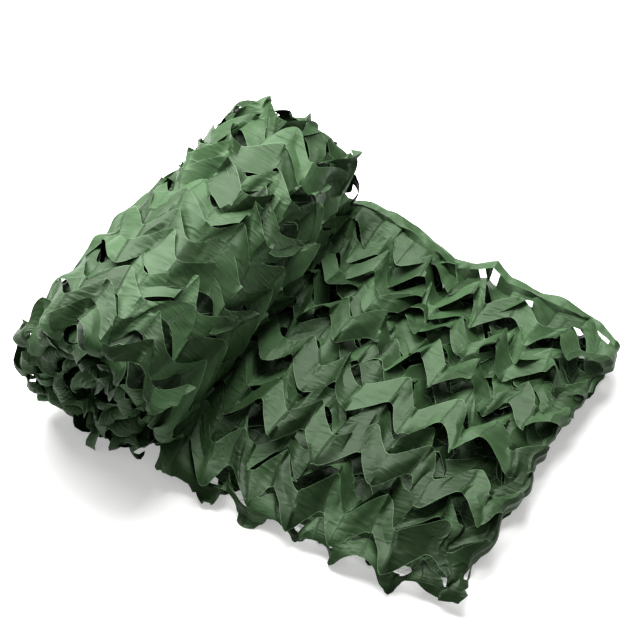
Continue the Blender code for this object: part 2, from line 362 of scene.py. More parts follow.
# %% [markdown]
# ## Gaps beside the border
# Along the bound edge most slits stay shut.  Where one gapes, only the tips of the zigzag
# still hold the border, so the faces between them are deleted.

# %% Open the border
TIP, TIP_HOLD = 0.25, 0.10      # where a tip lies in a zigzag, and how far it holds


def open_border(cloth, cut, rows):
    """Take away the cloth between the far border and the last band where it gapes."""
    row_layer, column_layer = grid_layers(cloth)
    last_band_row = len(rows) - 1 - BORDER_ROWS
    gone = []
    for face in cloth.faces:
        low = min(vert[row_layer] for vert in face.verts)
        middle = sum(vert[column_layer] for vert in face.verts) / 4
        from_tip = abs(middle * cut.step / PERIOD % 1.0 - TIP)
        if low != last_band_row or middle >= cut.columns - cut.uncut_end:
            continue
        if from_tip > TIP_HOLD and cut.border_open(middle * cut.step):
            gone.append(face)
    bmesh.ops.delete(cloth, geom=gone, context="FACES")


# %% [markdown]
# ## Where a point of the cut cloth goes
# A point on a slit belongs to the band that its own faces lie in.  It is moved across by
# the gaping slit, along by the turned limb, and up or down by tilt, corners and creases.
# How much is the band's mood:
#
# - near and far are where its two slits lie, and gape is how far they open;
# - lean and wild are the even tilt and its chance part, in radians;
# - corner is the height of its corners, and crumple the depth of its creases;
# - slide and stray shift it along, front raises it, and shade paints shade into its colour,
#   making it darker.

# %% Row, wave and free sides of a point
def leaf_row(vert, row_layer, rows):
    """Band, share across it, place on the flat cloth and swing of a point."""
    row = vert[row_layer]
    band, share, flat_across, swing = rows[row]
    around = [sum(other[row_layer] for other in face.verts) / 4 for face in vert.link_faces]
    above = sum(around) / len(around) > row if around else True
    if swing and share == 0.0 and not above and band > 0:
        band, share = band - 1, 1.0
    return band, share, flat_across, swing


def wave_at(cut, u, band, share, swing):
    """How far the zigzag, or a free edge's tabs, carries a point across the cloth."""
    if band == 0 and cut.near_tabs:
        return SWING * lerp(cut.near_tabs(u) * tabs(u), zigzag(u), share)
    if band == cut.bands - 1 and cut.far_tabs:
        return SWING * lerp(zigzag(u), cut.far_tabs(u) * tabs(u), share)
    return SWING * swing * zigzag(u)


def free_sides(cut, u, column, band):
    """How free a band's near and far sides are, from 0 on a bridge to 1."""
    near, far = float(bool(cut.near_tabs)), float(bool(cut.far_tabs))
    if band > 0 or cut.near_border:
        near = openness(band, u)
    if band < cut.bands - 1 or cut.far_border:
        far = openness(band + 1, u)
    if cut.uncut_end:
        ease = smooth((cut.columns - cut.uncut_end - column) / 3)
        near, far = near * ease, far * ease
    return near, far


# %% Move a point of the border or of a leaf
BORDER_CREASE, BORDER_CREASE_SCALE = 1.5, 1.6   # the border is creased deeper and closer
BORDER_RUFFLE, RUFFLES = 0.006, 22              # its height and its ruffles per metre
LIMB_CREASE = 0.006                             # height of a limb's middle crease
STRAY_SCALE = 15                                # wanderings along, per metre


def border_point(u, band, share, flat_y, start, mood):
    """Distance across, shift along and height of a point of the uncut border."""
    across = BORDER * share
    if band >= 0:
        across += start + mood["near"] + CALM_REACH
    crease = crumple(BORDER_CREASE_SCALE * u, flat_y, band)
    lift = BORDER_CREASE * mood["crumple"] * crease
    lift += BORDER_RUFFLE * ripple(RUFFLES * u, 3 * share, 61)
    return across, 0.0, lift


def leaf_point(cut, u, column, band, share, flat_y, wave, start, mood):
    """Distance across, shift along and height of a point of a leaf."""
    near, far = free_sides(cut, u, column, band)
    free = lerp(near, far, share)
    tilt = limb_tilt(cut.name, band, u, mood["lean"], mood["wild"])
    rising = 1.0 if (u / (PERIOD / 2) + 0.5) % 2 < 1.0 else -1.0
    square = Vector((-rising * SQUARE_ALONG, SQUARE_ACROSS))
    draw_in = LIMB_HALF * (1.0 - math.cos(tilt))
    move = lerp(near * draw_in, -far * draw_in, share)
    near_across = start + mood["near"] + near * mood["gape"] / 2
    far_across = start + mood["far"] - far * mood["gape"] / 2
    across = lerp(near_across, far_across, share) + wave + square.y * move
    stray = mood["slide"] * chance(cut.name, "slide", band)
    stray += mood.get("stray", 0.0) * ripple(STRAY_SCALE * u, 1.7 * band, 33)
    shift = square.x * move + free * stray
    lift_half = LIMB_HALF * math.sin(tilt)
    height = corner_height(cut.name, band, u, mood["corner"]) + mood["front"]
    lift = lerp(near * lift_half, -far * lift_half, share) + free * height
    lift += min(near, far) * fold_height(cut.name, band, u, share, LIMB_CREASE)
    lift += mood["crumple"] * crumple(u, flat_y, band)
    return across, shift, lift


# %% [markdown]
# ## One leaf sheet
# `leaf_sheet` cuts a sheet and lays it.  It is given two functions: lay(u, across) gives
# a place, the way along and the way out of the cloth there, and mood_at(u, band) gives the
# mood.  The flat pattern is kept as the UV map, so the finish follows the cloth, and two
# attributes mark cut edges and carry each leaf's chance tone with its painted shade.

# %% Cut and lay a sheet
FLOOR_GAP = 0.0006      # no cloth lies lower
BORDER_PAINTED_LIGHT = 0.9       # painted light: the border is drawn lighter than most leaves


def leaf_sheet(cut, lay, mood_at):
    """A bmesh of slit cloth on its fold, with its flat pattern as its UV map."""
    rows, start = cut_rows(cut)
    cloth = new_grid(cut, rows)
    cut_slits(cloth, cut, rows)
    if cut.border_open:
        open_border(cloth, cut, rows)
    uv = cloth.loops.layers.uv.new("flat_cloth")
    edge_layer = cloth.verts.layers.float.new("cut_edge")
    tone_and_shade_layer = cloth.verts.layers.float.new("leaf_tint")
    row_layer, column_layer = grid_layers(cloth)
    flats, places = [], []
    for vert in cloth.verts:
        column = vert[column_layer]
        u = column * cut.step
        band, share, flat_across, swing = leaf_row(vert, row_layer, rows)
        wave = wave_at(cut, u, band, share, swing)
        flat = Vector((u, flat_across + wave, 0.0))
        mood = mood_at(u, band)
        if swing:
            across, shift, lift = leaf_point(cut, u, column, band, share, flat.y, wave,
                                             start, mood)
        else:
            across, shift, lift = border_point(u, band, share, flat.y, start, mood)
        point, along, outward = lay(u, across)
        place = point + along * shift + outward * lift
        place.z = max(place.z, FLOOR_GAP)
        flats.append(flat)
        places.append(place)
        vert[edge_layer] = 1.0 if vert.is_boundary else 0.0
        limb = math.floor(2 * u / PERIOD + 0.5)
        # Painted light and shade: the border gets a fixed lighter tone, and the mood's shade
        # darkens whole leaves.
        tint = chance(cut.name, "tint", band, limb) if swing else BORDER_PAINTED_LIGHT
        vert[tone_and_shade_layer] = mood.get("shade", 0.0) + tint
    for face in cloth.faces:
        for loop in face.loops:
            loop[uv].uv = flats[loop.vert.index].xy
    for vert, place in zip(cloth.verts, places):
        vert.co = place
    return cloth


def even_bands(band, pitch, **feel):
    """A mood for bands that lie a pitch apart."""
    return dict(near=band * pitch, far=(band + 1) * pitch, **feel)


# %% [markdown]
# ## From bmesh to object
# Stiff cloth has soft bends and sharp creases.  Smooth shading shows the bends, and edges
# that bend by more than 24 degrees are marked sharp, so creases stay crisp.

# %% Make an object
CREASE_ANGLE = math.radians(24.0)


def as_object(name, cloth):
    """A finished object at the origin, with its normals put right."""
    mesh = bpy.data.meshes.new(name)
    bmesh.ops.recalc_face_normals(cloth, faces=cloth.faces)
    cloth.to_mesh(mesh)
    cloth.free()
    mesh.polygons.foreach_set("use_smooth", [True] * len(mesh.polygons))
    mesh.set_sharp_from_angle(angle=CREASE_ANGLE)
    print(name, len(mesh.polygons), "faces")
    return into_scene(name, mesh)


# %% [markdown]
# ## Where the netting lies
# The netting is folded in three along its length: from the inner free edge it runs across,
# turns down round the far fold, comes back along the floor, turns up round the near fold
# and ends at the bound edge, on top.  Dropping it in a cloth simulation could give any
# fold, so tables give this one's outline instead, every few centimetres.

# %% Outline of the lying fold
NEAR_Y, FAR_Y, FAR_LIFT, FAR_INSET = 1, 2, 3, 4
OUTLINE = (
    # x, near y, far y, how far the bound edge lifts, how far the far fold lies inside it
    (-0.225, -0.240, 0.280, 0.026, 0.012),
    (-0.130, -0.250, 0.292, 0.030, 0.012),
    (-0.070, -0.270, 0.299, 0.034, 0.012),
    (0.005, -0.277, 0.292, 0.028, 0.012),
    (0.045, -0.276, 0.286, 0.020, 0.012),
    (0.070, -0.276, 0.281, 0.008, 0.012),
    (0.095, -0.276, 0.289, 0.012, 0.018),
    (0.135, -0.274, 0.294, 0.027, 0.026),
    (0.165, -0.272, 0.286, 0.012, 0.018),
    (0.240, -0.267, 0.283, 0.010, 0.018),
    (0.300, -0.255, 0.281, 0.008, 0.026),
    (0.335, -0.242, 0.268, 0.004, 0.032),
    (0.365, -0.241, 0.246, 0.002, 0.030),
)
FREE_END = (
    # share of the folded width, x: the under layers end a little inside the top one
    (0.00, 0.338), (0.10, 0.348), (0.30, 0.352), (0.33, 0.352), (0.45, 0.344),
    (0.56, 0.348), (0.64, 0.343), (0.667, 0.351), (0.70, 0.357), (0.75, 0.359),
    (0.81, 0.355), (0.87, 0.352), (0.92, 0.355), (0.965, 0.368), (0.985, 0.360),
    (1.00, 0.346),
)


def read_table(table, key, column=1):
    """A column's value at a key, between the rows before and after it."""
    if key <= table[0][0]:
        return table[0][column]
    for low, high in zip(table, table[1:]):
        if key <= high[0]:
            return lerp(low[column], high[column], (key - low[0]) / (high[0] - low[0]))
    return table[-1][column]


print("free end at", [read_table(FREE_END, share) for share in (0.0, 0.667, 1.0)])

# %% [markdown]
# ## Section across the fold
# Seen from its end, the fold is three level runs joined by two half turns.  Their lengths
# add up to the netting's width, and a distance across the cloth finds its place on them.

# %% Runs of the section
MIDDLE_Z, FLOOR_Z, TOP_Z = 0.0215, 0.0015, 0.048
NEAR_DIP = 0.020        # the top layer is that much lower along the near fold
SPAN = 0.555            # folded width
MIDDLE_START, FOLD_INSET = 0.030, 0.030
NEAR_RADIUS = (TOP_Z - FLOOR_Z) / 2
FAR_RADIUS = (MIDDLE_Z - FLOOR_Z) / 2
RUNS = {
    "middle": SPAN - MIDDLE_START - FOLD_INSET - FAR_RADIUS,
    "far_fold": math.pi * FAR_RADIUS,
    "bottom": SPAN - FOLD_INSET - FAR_RADIUS - NEAR_RADIUS,
    "near_fold": math.pi * NEAR_RADIUS,
    "top": SPAN - NEAR_RADIUS,
}
LYING_WIDTH = sum(RUNS.values())
TOP_RUN_START = LYING_WIDTH - RUNS["top"]
print("width before folding", round(LYING_WIDTH, 3))

# %% Place on the section
UP, DOWN = Vector((0, 0, 1)), Vector((0, 0, -1))
LIFT_TO_RADIUS = 0.35               # share of the bound edge's lift that rounds the far fold
MIDDLE_RISE, MIDDLE_SINK = 0.012, 0.011     # towards the far fold, and at its free edge
TOP_RIPPLE = 0.005
RIPPLE_FADE, DIP_LENGTH = 0.04, 0.11        # distances in from the near fold


def middle_height(share, far_radius):
    """Height of the middle layer, from its free edge at 0 to the far fold at 1."""
    z = MIDDLE_Z + MIDDLE_RISE * smooth((share - 0.35) / 0.25)
    z -= MIDDLE_SINK * smooth(1.0 - share / 0.2)
    return lerp(z, FLOOR_Z + 2 * far_radius, smooth((share - 0.8) / 0.2))


def lying_section(x, distance):
    """Place and outward direction at x and a distance across the folded netting."""
    distance = min(max(distance, 0.0), LYING_WIDTH)
    for run, length in RUNS.items():
        if distance <= length or run == "top":
            break
        distance -= length
    share = distance / length
    turn = math.pi * share
    near, far = read_table(OUTLINE, x, NEAR_Y), read_table(OUTLINE, x, FAR_Y)
    lift = read_table(OUTLINE, x, FAR_LIFT)
    near_turn = near + NEAR_RADIUS
    far_turn = far - read_table(OUTLINE, x, FAR_INSET) - FAR_RADIUS
    far_radius = FAR_RADIUS + LIFT_TO_RADIUS * lift
    if run == "middle":
        z = middle_height(share, far_radius)
        return Vector((x, lerp(near + MIDDLE_START, far_turn, share), z)), UP
    if run == "far_fold":
        out = Vector((0, math.sin(turn), math.cos(turn)))
        return Vector((x, far_turn, FLOOR_Z + far_radius)) + out * far_radius, out
    if run == "bottom":
        return Vector((x, lerp(far_turn, near_turn, share), FLOOR_Z)), DOWN
    if run == "near_fold":
        out = Vector((0, -math.sin(turn), -math.cos(turn)))
        half = NEAR_RADIUS - NEAR_DIP / 2
        return Vector((x, near_turn + out.y * NEAR_RADIUS, FLOOR_Z + half + out.z * half)), out
    y = lerp(near_turn, far, share)
    inward = y - near - NEAR_RADIUS
    rise = lift * smooth((share - 0.78) / 0.2)
    rise += TOP_RIPPLE * ripple(6 * x, 5 * y, 1) * smooth(inward / RIPPLE_FADE)
    rise -= NEAR_DIP * smooth(1.0 - inward / DIP_LENGTH)
    return Vector((x, y, TOP_Z + rise)), UP


# %% [markdown]
# ## Edges of the lying cloth
# The bound edge is turned down like a hem, and at the free end the top layer bends over
# the layers under it and hangs a little.  Pulled across, netting also draws in along its
# length, so it covers less floor than it has cloth.

# %% Lay the cloth on the fold
LYING_START, LYING_END = -0.185, 0.361
LYING_SCALE = 0.90      # how far the netting draws in along its length
GATHERED = 0.80         # and it lies looser beside the roll
GATHER_LENGTH = 0.22
HANG = 0.010            # length of the top layer's end that hangs down
BEND, BEND_ANGLE = 0.008, math.radians(75.0)    # radius of that bend, and how far it turns
HEM_FOLD = 0.009        # outer part of the bound edge, turned down
HEM_DOWN, HEM_IN = 1.2, 0.7
NEARBY = 0.002          # distance that shows which way the cloth runs
END_WANDER, END_WAVES, END_INSET = 0.008, 32, 0.004
END_FROM, END_OVER = 0.15, 0.20     # from this x, and over this length, x fits the free end


def under_x(u):
    """Place along the floor of a distance along the under layers' flat cloth."""
    return LYING_START + u * LYING_SCALE


def top_x(u):
    """The same along the top layer, which is gathered beside the roll."""
    loose = min(u, GATHER_LENGTH)
    return LYING_START + loose * GATHERED + (u - loose) * LYING_SCALE


def hang_over(point, outward, past, hang):
    """Bend cloth down where it runs past the free end, by a share of hang."""
    turn = min(past / BEND, BEND_ANGLE)
    way = Vector((math.cos(turn), 0, -math.sin(turn)))
    bent = Vector((math.sin(turn), 0, math.cos(turn) - 1.0))
    point = point + bent * BEND * hang + way * (past - turn * BEND) * hang
    along = Vector((1, 0, 0)).lerp(way, hang).normalized()
    return point, along, (outward + bent * hang).normalized()


def lay_lying(x, across, hang=0.0):
    """Place, way along and way out of a point on the lying fold."""
    share = min(max(across / LYING_WIDTH, 0.0), 1.0)
    end = read_table(FREE_END, share) - END_INSET
    end += END_WANDER * ripple(END_WAVES * across, 3.0, 9)
    x -= (LYING_END - end) * smooth((x - END_FROM) / END_OVER)
    past = x - (end - BEND)
    if hang:
        x = min(x, end - BEND)
    point, outward = lying_section(x, across)
    along = Vector((1, 0, 0))
    if hang and past > 0.0:
        point, along, outward = hang_over(point, outward, past, hang)
    drop = across - LYING_WIDTH + HEM_FOLD
    if drop > 0.0:
        ahead = lying_section(x, across + NEARBY)[0]
        behind = lying_section(x, across - NEARBY)[0]
        point = point - outward * drop * HEM_DOWN
        point = point - (ahead - behind).normalized() * drop * HEM_IN
    return point, along, outward


# %% [markdown]
# ## Where the top layer lies
# The top layer is the one that is seen.  It starts as a row of free tabs that hang over
# the near fold to the floor, and its bands lie closer together towards the far side.  The
# tabs are uneven, so two tables say where they lie and how far they reach.

# %% Place on the top layer
TOP_BANDS = 13
OPEN_PITCH, CLOSE_PITCH = 0.0485, 0.0333        # from band to band, near side and far side
TOP_STARTS = [0.0]
for band in range(TOP_BANDS):
    pitch = lerp(OPEN_PITCH, CLOSE_PITCH, smooth((band - 4.5) / 5.0))
    TOP_STARTS.append(TOP_STARTS[-1] + pitch)
TOP_FROM = LYING_WIDTH - BOUND_EDGE - TOP_STARTS[-1]
TOP_LENGTH = (LYING_END + HANG - top_x(GATHER_LENGTH)) / LYING_SCALE + GATHER_LENGTH
TOP_COLUMNS = round(TOP_LENGTH / COLUMN)
FOLD_FRONT = NEAR_RADIUS * math.pi / 2          # from the top run to the fold's foremost line
SHIFT_FADE = 0.10       # the tabs' shift has faded out this far across
DROP_WAY, DROP_OUT = Vector((0, 0.25, 0.45)), Vector((0, -0.95, 0.25))
FRONT_SHIFT = (
    # x, how far the front tabs lie further to the right
    (-0.14, 0.015), (-0.052, 0.032), (0.020, 0.040), (0.095, 0.025), (0.176, 0.005),
    (0.246, 0.016), (0.313, 0.025), (0.38, 0.0),
)
FRONT_REACH = (
    # x, length of the front tabs as a share of the zigzag's reach
    (-0.14, 0.3), (-0.052, 1.3), (0.020, 1.2), (0.095, 0.5), (0.176, 1.1), (0.246, 1.3),
    (0.313, 0.3),
)


def front_reach(u):
    """Length of the front tabs at u."""
    return read_table(FRONT_REACH, top_x(u))


def lay_top(u, across):
    """Place on the top layer.  Past the near fold's front its leaves hang to the floor."""
    x = top_x(u)
    x += read_table(FRONT_SHIFT, x) * smooth(1.0 - across / SHIFT_FADE)
    from_fold = across + TOP_FROM - TOP_RUN_START
    hang = smooth(from_fold / 0.03 + 0.6)
    below = -from_fold - FOLD_FRONT
    if below <= 0.0:
        return lay_lying(x, TOP_FROM + across, hang)
    point, along, _ = lay_lying(x, TOP_RUN_START - FOLD_FRONT, hang)
    fall = min(below, NEAR_RADIUS)
    point = point - DROP_WAY * fall
    if below > fall:
        return point - Vector((0, below - fall, 0)), along, UP
    return point, along, DROP_OUT


print("top layer", TOP_BANDS, "bands from", round(TOP_FROM, 3), "m across")

# %% [markdown]
# ## How the top layer falls
# Chance alone looks like a heap of leaves.  In real netting the bands at the near side lie
# in order, every second one tucked under its neighbours.  Further back they are wilder,
# and they calm down along the bound edge and beside the roll.

# %% Top layer
EVERYWHERE = dict(gape=-0.010, lean=0.30, wild=0.80, slide=0.012, stray=0.014, crumple=0.002)
RAISED = dict(gape=-0.005, wild=0.55, corner=0.006, front=0.010)
TUCKED = dict(gape=0.012, lean=0.30, wild=0.95, corner=0.010, front=-0.012)
FRONT_TABS = dict(gape=0.012, lean=0.30, wild=0.40, corner=0.006, front=-0.004)
BESIDE_ROLL = dict(gape=-0.012, lean=0.15, wild=0.35, front=0.0)


def mix_mood(mood, share, **other):
    """Move a mood's values towards others by a share."""
    for key, value in other.items():
        mood[key] = lerp(mood[key], value, share)


def top_mood(u, band):
    """Ordered at the near side, wild in the middle and calm along the bound edge."""
    x = top_x(u)
    order = (1.0 - smooth((band - 4.0) / 3.0)) * smooth((x + 0.14) / 0.14)
    calm = smooth((band - 11.0) / 2.0)
    near_side = 1.0 - smooth((band - 1.5) / 2.0)
    odd = band % 2
    place = min(max(band, 0), TOP_BANDS - 1)
    mood = dict(near=TOP_STARTS[place] if band < TOP_BANDS else TOP_STARTS[-1],
                far=TOP_STARTS[place + 1], corner=lerp(0.016, 0.010, calm),
                front=(1.0 if odd else -1.0) * 0.007 * (1.0 - calm), **EVERYWHERE)
    if band == 0:
        mix_mood(mood, order, **FRONT_TABS)
    elif odd:
        mix_mood(mood, order, lean=lerp(0.0, -0.25, near_side), **RAISED)
    else:
        mix_mood(mood, order, **TUCKED)
    mix_mood(mood, smooth((band - 8.5) / 2.0) * (1.0 - smooth(x / 0.12)), **BESIDE_ROLL)
    # Painted shade: the ordered bands at the near side are darkened.
    mood["shade"] = lerp(0.0, -0.7, order)
    return mood


def border_gap(u):
    """Where the last slit gapes beside the bound edge."""
    return 0.112 < top_x(u) < 0.150 or 0.295 < top_x(u) < 0.345


top_cut = Cut("lying_leaves", TOP_COLUMNS, TOP_BANDS, 8, far_border=True, uncut_end=2,
              near_tabs=front_reach, border_open=border_gap)
lying_leaves = as_object("lying_leaves", leaf_sheet(top_cut, lay_top, top_mood))

# %% [markdown]
# ## The layers under the top one
# Only the edges of these layers show, and glimpses through the gaps.  So their grid is
# coarser, their slits are nearly shut, and painted shade makes them darker, as cloth in shade
# looks.

# %% Under layers
UNDER_PITCH = 0.0535
UNDER_STEP = PERIOD / 12
UNDER_END = TOP_RUN_START - RUNS["near_fold"] + 0.012
UNDER_BANDS = int((UNDER_END - BOUND_EDGE) / UNDER_PITCH)
UNDER_COLUMNS = round((LYING_END - LYING_START) / LYING_SCALE / UNDER_STEP)
TUCK_IN, TUCK_LOW, TUCK_RISE = 0.012, 0.003, 0.2    # beside the near fold they stay low
RUFFLED_FROM = 2.5                                  # bands that stay flat at the inner edge


def lay_under(u, across):
    """Place under the top layer: drawn in beside the near fold, whose leaves hang clear."""
    point, along, outward = lay_lying(under_x(u), across)
    inward = point.y - read_table(OUTLINE, point.x, NEAR_Y) - TUCK_IN
    point.y -= min(inward, 0.0)
    point.z = min(point.z, TUCK_LOW + TUCK_RISE * max(inward, 0.0))
    return point, along, outward


def under_mood(u, band):
    """Only the middle layer is ruffled.  Painted shade darkens the cloth, less on most ruffled
    bands and at the free end.
    """
    ruffled = 1.0 if (band + 1) * UNDER_PITCH < RUNS["middle"] else 0.0
    ruffled *= smooth(band / RUFFLED_FROM)
    end = smooth((under_x(u) - 0.29) / 0.05)
    return even_bands(
        band, UNDER_PITCH, gape=lerp(-0.008, 0.002, ruffled), lean=lerp(0.05, 0.35, ruffled),
        wild=lerp(0.05, 0.75, ruffled), corner=lerp(0.001, 0.011, ruffled), slide=0.002,
        front=0.005 * ruffled * (-1.0) ** band, crumple=0.003,
        shade=lerp(-1.4 + 1.2 * ruffled * smooth((band - 3.5) / 2.0), -0.3, end))


under_cut = Cut("under_leaves", UNDER_COLUMNS, UNDER_BANDS, 4, UNDER_PITCH, UNDER_STEP,
                near_border=True, uncut_end=2)
under_leaves = as_object("under_leaves", leaf_sheet(under_cut, lay_under, under_mood))

# %% [markdown]
# ## Where the netting is rolled
# The roll stands on the floor at the left, a little flattened by its weight.  Winding all
# its turns would make millions of faces that nobody sees, so only the turns that show are
# laid, on a round form.  Hand-rolled netting is lumpy, so the form gets low lumps.

# %% Form of the roll
ROLL_NEAR, ROLL_FAR = Vector((-0.205, -0.284)), Vector((-0.233, 0.275))     # its axis: x, y
ROLL_RADII = (0.128, 0.123)     # at the near end and the far end
ROLL_SQUASH = 0.90              # height for its width
ROLL_SINK = 0.003               # set lower by this, so that its foot lies flat
SWAY = 0.0045                   # height of its slow unevenness
SKIN_RIM, TURN_RIM = 0.015, 0.009       # radius of the fold at a rim: outer turn, inner ones
RETURN = 0.030                  # cloth that turns back inside a rim
LUMPS = (
    # angle, place along the roll, height, half the angle, half the length
    (136.0, 0.270, 0.014, 14.0, 0.040), (116.0, 0.270, -0.009, 14.0, 0.050),
    (150.0, 0.155, 0.006, 25.0, 0.035), (150.0, 0.067, -0.004, 25.0, 0.040),
    (150.0, -0.029, 0.015, 22.0, 0.035), (150.0, -0.090, 0.008, 16.0, 0.022),
    (150.0, -0.184, 0.013, 22.0, 0.035), (152.0, -0.235, 0.006, 20.0, 0.030),
    (158.0, -0.262, -0.010, 25.0, 0.045), (14.0, 0.270, 0.008, 20.0, 0.050),
    (152.0, -0.120, 0.007, 32.0, 0.170),
)


def bump(value, middle, half):
    """1 at the middle, and 0 from half away."""
    return smooth(1.0 - abs(value - middle) / half)


def lump_height(degrees, y):
    """Height of the roll's lumps at an angle and a place along it."""
    height = 0.0
    for angle, along, rise, half_angle, half_length in LUMPS:
        height += rise * bump(degrees % 360.0, angle, half_angle) * bump(y, along, half_length)
    return height


print("roll", len(LUMPS), "lumps, length", round((ROLL_FAR - ROLL_NEAR).length, 3))

# %% Lay cloth on the roll
def rim_path(across, near_y, far_y, rim):
    """Place along the roll, depth under the skin and lean, for a distance across a turn."""
    fold = math.pi * rim
    straight = far_y - near_y - 2 * rim
    across -= RETURN
    if across < 0.0:
        return far_y - rim + across, 2 * rim, -math.pi
    if across < fold:
        lean = across / rim - math.pi
        return far_y - rim - rim * math.sin(lean), rim * (1 - math.cos(lean)), lean
    across -= fold
    if across < straight:
        return far_y - rim - across, 0.0, 0.0
    across -= straight
    lean = min(across / rim, math.pi)
    y = near_y + rim - rim * math.sin(lean) + max(across - fold, 0.0)
    return y, rim * (1 - math.cos(lean)), lean


def roll_lay(turn_at, rim, skip=0.0):
    """A laying function for wound cloth.

    turn_at(u) gives an angle, how deep the turn lies, and how far its near and far rims
    are drawn in.
    """
    def lay(u, across):
        angle, drop, near_in, far_in = turn_at(u)
        near_y, far_y = ROLL_NEAR.y + near_in, ROLL_FAR.y - far_in
        y, sink, lean = rim_path(across + skip, near_y, far_y, rim)
        share = (y - ROLL_NEAR.y) / (ROLL_FAR.y - ROLL_NEAR.y)
        centre = ROLL_NEAR.lerp(ROLL_FAR, share)
        radius = lerp(ROLL_RADII[0], ROLL_RADII[1], share)
        lump = SWAY * ripple(2.5 * math.cos(angle) + 5 * share, 2.5 * math.sin(angle), 4)
        reach = radius - drop - sink + lump + lump_height(math.degrees(angle), y)
        z = radius * ROLL_SQUASH - ROLL_SINK + reach * ROLL_SQUASH * math.sin(angle)
        point = Vector((centre.x + reach * math.cos(angle), y, z))
        out = Vector((math.cos(angle), 0, math.sin(angle)))
        around = Vector((-math.sin(angle), 0, math.cos(angle)))
        outward = out * math.cos(lean) + Vector((0, -1, 0)) * math.sin(lean)
        return point, around, outward
    return lay


# %% [markdown]
# ## Skin of the roll
# The skin is the last turn of the netting, wound a little loose.  Its bands are counted
# from the far rim.  Its leaves lie flattest in the near half and stand up at the rims.  The
# near rim ends in free tabs, and on the outer side beside them the leaves are pressed down.

# %% Skin
ROLL_PITCH = 0.0415             # from band to band along the roll
MEAN_RADIUS = sum(ROLL_RADII) / 2 * 0.95
SKIN_START, SKIN_END = math.radians(-52.0), math.radians(262.0)
SKIN_SLACK = 0.97
ROLL_LENGTH = ROLL_FAR.y - ROLL_NEAR.y
SKIN_WIDTH = 2 * RETURN + 2 * math.pi * SKIN_RIM + ROLL_LENGTH - 2 * SKIN_RIM
SKIN_BANDS = int((SKIN_WIDTH - RETURN - SKIN_RIM * math.pi / 2) / ROLL_PITCH)
SKIN_COLUMNS = round((SKIN_END - SKIN_START) * MEAN_RADIUS / SKIN_SLACK / COLUMN)
STANDING = (
    # angle, place along the roll, strength of a leaf that stands out of the skin
    (152.0, -0.038, 0.6), (150.0, 0.262, 0.5), (16.0, 0.262, 0.3),
)


def foot_inset(angle):
    """How far the near rim is drawn in beside the lying netting and at the outer foot."""
    degrees = math.degrees(angle) % 360.0
    return (0.016 * bump(degrees, 327.0, 36.0) + 0.026 * bump(degrees, 248.0, 26.0)
            - 0.010 * bump(degrees, 190.0, 28.0))


def skin_turn(u):
    """Angle, depth and drawn-in rims of the skin."""
    angle = SKIN_START + u * SKIN_SLACK / MEAN_RADIUS
    sway = 0.006 * ripple(9 * u, 0.0, 21)
    far_in = sway - 0.014 * bump(math.degrees(angle), 14.0, 22.0)
    return angle, 0.0, sway + foot_inset(angle), far_in


def skin_mood(u, band):
    """Flat in the near half and loose at the rims, with a few lifted or standing leaves."""
    near_rim = smooth((band - SKIN_BANDS + 3.0) / 2.0)
    rim = max(0.45 * near_rim, 0.2 * smooth((3.5 - band) / 2.5))
    flat = smooth((band - 6.0) / 3.0) * (1.0 - near_rim)
    lifted = min(max(ripple(14 * u, 1.7 * band, 77) - 0.15, 0.0) * 1.8, 0.7) * (1.0 - flat)
    angle = math.degrees(skin_turn(u)[0])
    y = ROLL_FAR.y - SKIN_RIM - (band + 0.5) * ROLL_PITCH + RETURN + math.pi * SKIN_RIM
    stand = sum(strength * bump(angle, at, 22.0) * bump(y, along, 0.045)
                for at, along, strength in STANDING)
    loose = 1.0 - 0.9 * bump(angle, 163.0, 30.0) * smooth((band - 9.5) / 2.0)
    return even_bands(
        band, ROLL_PITCH, gape=lerp(-0.005, 0.010, rim) - 0.003 * flat,
        lean=(lerp(0.38, 0.5, rim) - 0.12 * flat + 0.5 * lifted) * loose + 0.6 * stand,
        wild=(lerp(0.78, 1.0, rim) - 0.42 * flat + 0.6 * lifted) * loose,
        corner=(lerp(0.006, 0.010, rim) - 0.002 * flat + 0.006 * lifted) * loose,
        front=(-1.0) ** band * 0.001 + 0.012 * stand, slide=0.030, stray=0.014,
        crumple=0.003)


skin_cut = Cut("roll_skin", SKIN_COLUMNS, SKIN_BANDS, 8, far_tabs=lambda u: 1.0)
roll_skin = as_object(
    "roll_skin", leaf_sheet(skin_cut, roll_lay(skin_turn, SKIN_RIM), skin_mood))

# %% [markdown]
# ## The turn under the skin
# Through the skin's gaps one sees more netting, in shade.  One closed turn, coarse and
# darkened with painted shade, is enough for that.

# %% Inner turn
INNER_BANDS, INNER_PITCH = 10, 0.0523
INNER_DEPTH = 0.014
INNER_COLUMNS = round(2 * math.pi * MEAN_RADIUS / UNDER_STEP)


def inner_turn(u):
    """The same for the inner turn, which is a plain one."""
    return SKIN_START + u / MEAN_RADIUS, INNER_DEPTH, 0.0, 0.0


def inner_mood(u, band):
    """The same all over: nearly shut, and darkened with painted shade."""
    return even_bands(band, INNER_PITCH, gape=0.001, lean=0.2, wild=0.3, corner=0.004,
                      slide=0.002, front=0.0, crumple=0.004, shade=-2.0)


inner_cut = Cut("inner_turn", INNER_COLUMNS, INNER_BANDS, 4, INNER_PITCH, UNDER_STEP)
inner_lay = roll_lay(inner_turn, TURN_RIM, RETURN + math.pi * TURN_RIM + 0.010)
inner_piece = as_object("inner_turn", leaf_sheet(inner_cut, inner_lay, inner_mood))

# %% [markdown]
# ## Wound turns
# Only the edges of the turns show, as a spiral at each end of the roll.  So a strip of
# cloth, four bands wide, is wound inwards from the skin's start.  A spiral's length has no
# simple formula, so it is added up in steps of two degrees and looked up for each u.

# %% Wound turns
TURNS, TURN_PITCH, FIRST_DEPTH = 4, 0.0235, 0.012
TURN_BANDS, TURN_BAND = 4, 0.040
WINDING_STEP = math.radians(2.0)


def turn_depth(wound):
    """How deep the spiral lies after it has wound through an angle."""
    return FIRST_DEPTH + TURN_PITCH * wound / (2 * math.pi)


